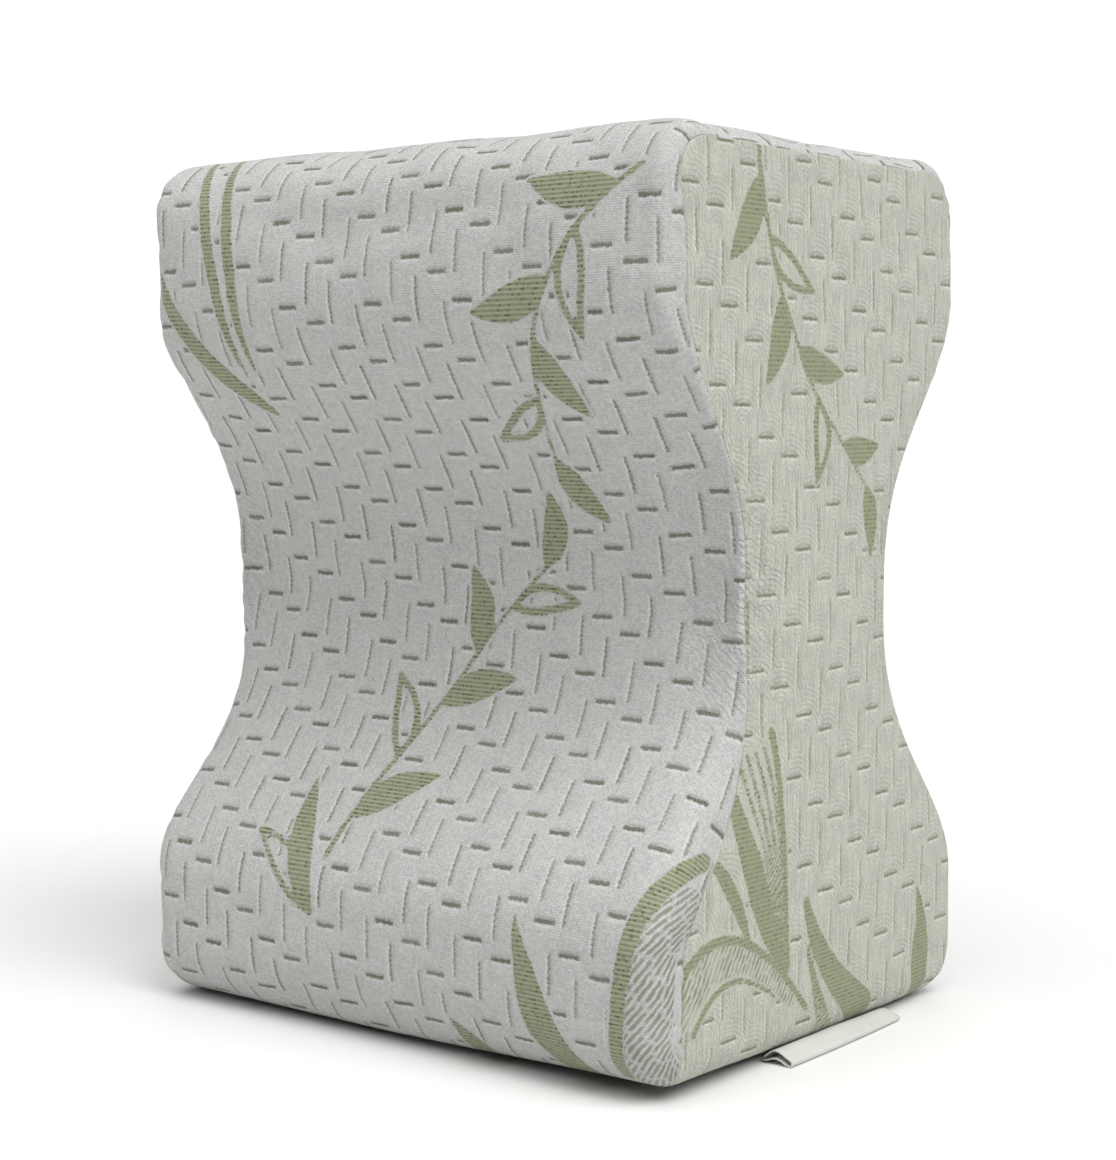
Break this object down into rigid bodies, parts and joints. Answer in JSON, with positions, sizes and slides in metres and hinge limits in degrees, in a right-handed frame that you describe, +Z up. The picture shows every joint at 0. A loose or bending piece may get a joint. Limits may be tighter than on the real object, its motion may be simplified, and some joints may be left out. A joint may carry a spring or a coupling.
{
  "type": "knee pillow",
  "caption": "Contoured foam knee pillow in a knitted cover, an hourglass block with a leg hollow on each face, standing on one end.",
  "frame": {"origin": "middle of the flat end that the pillow stands on, without its label", "axes": "+Z up through both ends; +X across the width, towards the side panel whose seam holds the label; the two leg hollows face -Y and +Y"},
  "size_m": [0.1964, 0.1562, 0.2514],
  "materials": {
    "band_knit": "white jacquard knit with sage green stitches and leaves, matt with a slight sheen",
    "panel_knit": "the same knit on the side panels, softly blistered between its green stitches",
    "label_satin": "plain white satin, blank"
  },
  "bodies": {
    "root": {"filled_body": "band_knit", "side_panel_right": "panel_knit", "side_panel_left": "panel_knit", "seam_label": "label_satin"}
  },
  "joints": []
}
